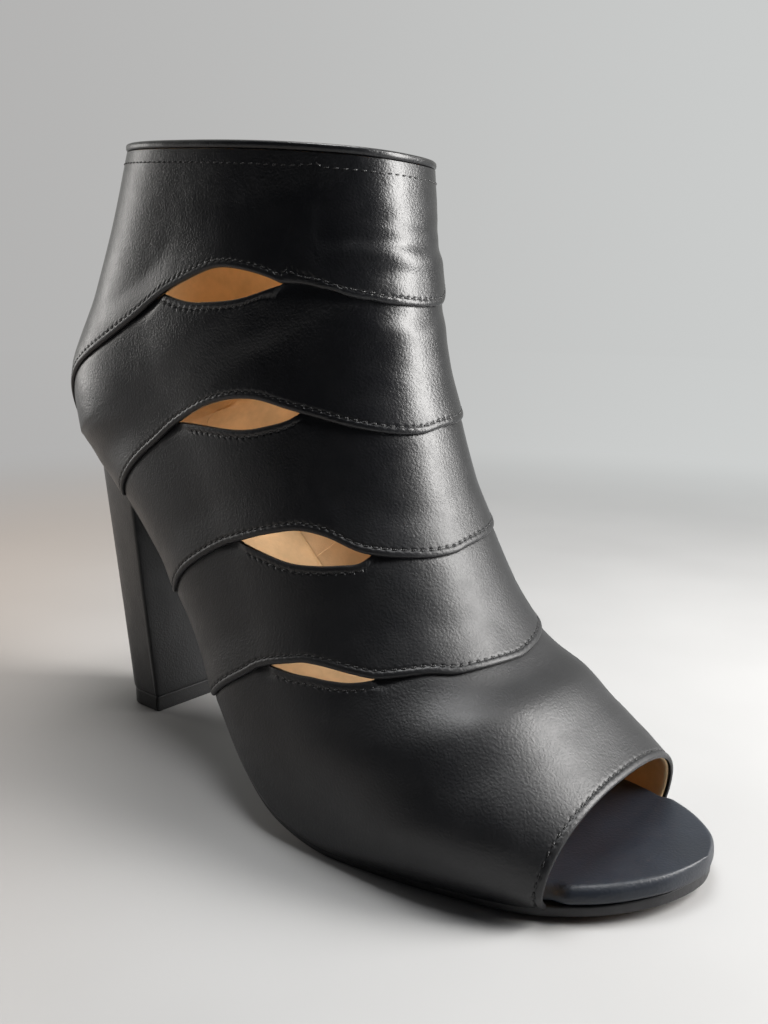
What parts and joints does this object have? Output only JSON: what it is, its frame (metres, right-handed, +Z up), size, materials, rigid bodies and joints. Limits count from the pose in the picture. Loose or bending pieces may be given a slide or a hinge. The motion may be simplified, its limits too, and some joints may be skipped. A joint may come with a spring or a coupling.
{
  "type": "ankle boot",
  "caption": "Right peep toe ankle boot: leather upper of overlapping arched panels with side slits, back zip, open toe and a high block heel.",
  "frame": {"origin": "on the floor below the middle of the boot's bounding box", "axes": "+X towards the toe, +Y towards the inner side of the foot, +Z up; the boot stands on the plane z = 0"},
  "size_m": [0.23, 0.0908, 0.1897],
  "materials": {
    "upper_leather": "smooth satin",
    "footbed_cover": "smooth satin",
    "heel_cover": "smooth satin",
    "outsole_rubber": "matte",
    "lift_rubber": "matte",
    "zip_tape": "woven",
    "nickel": "polished nickel plate"
  },
  "bodies": {
    "boot": {"upper": "upper_leather", "collar_binding": "upper_leather", "footbed": "footbed_cover", "outsole": "outsole_rubber", "heel_block": "heel_cover", "heel_top_lift": "lift_rubber", "zip": "zip_tape", "zip_slider": "nickel"},
    "pull_tab": {"zip_pull_tab": "nickel"}
  },
  "joints": [
    {"name": "pull_tab_swing", "type": "hinge", "parent": "boot", "child": "pull_tab", "pos_m": [-0.09529, 0.00695, 0.18011], "axis": [-0.0217, 0.9974, -0.068], "range_deg": [0, 150]}
  ]
}
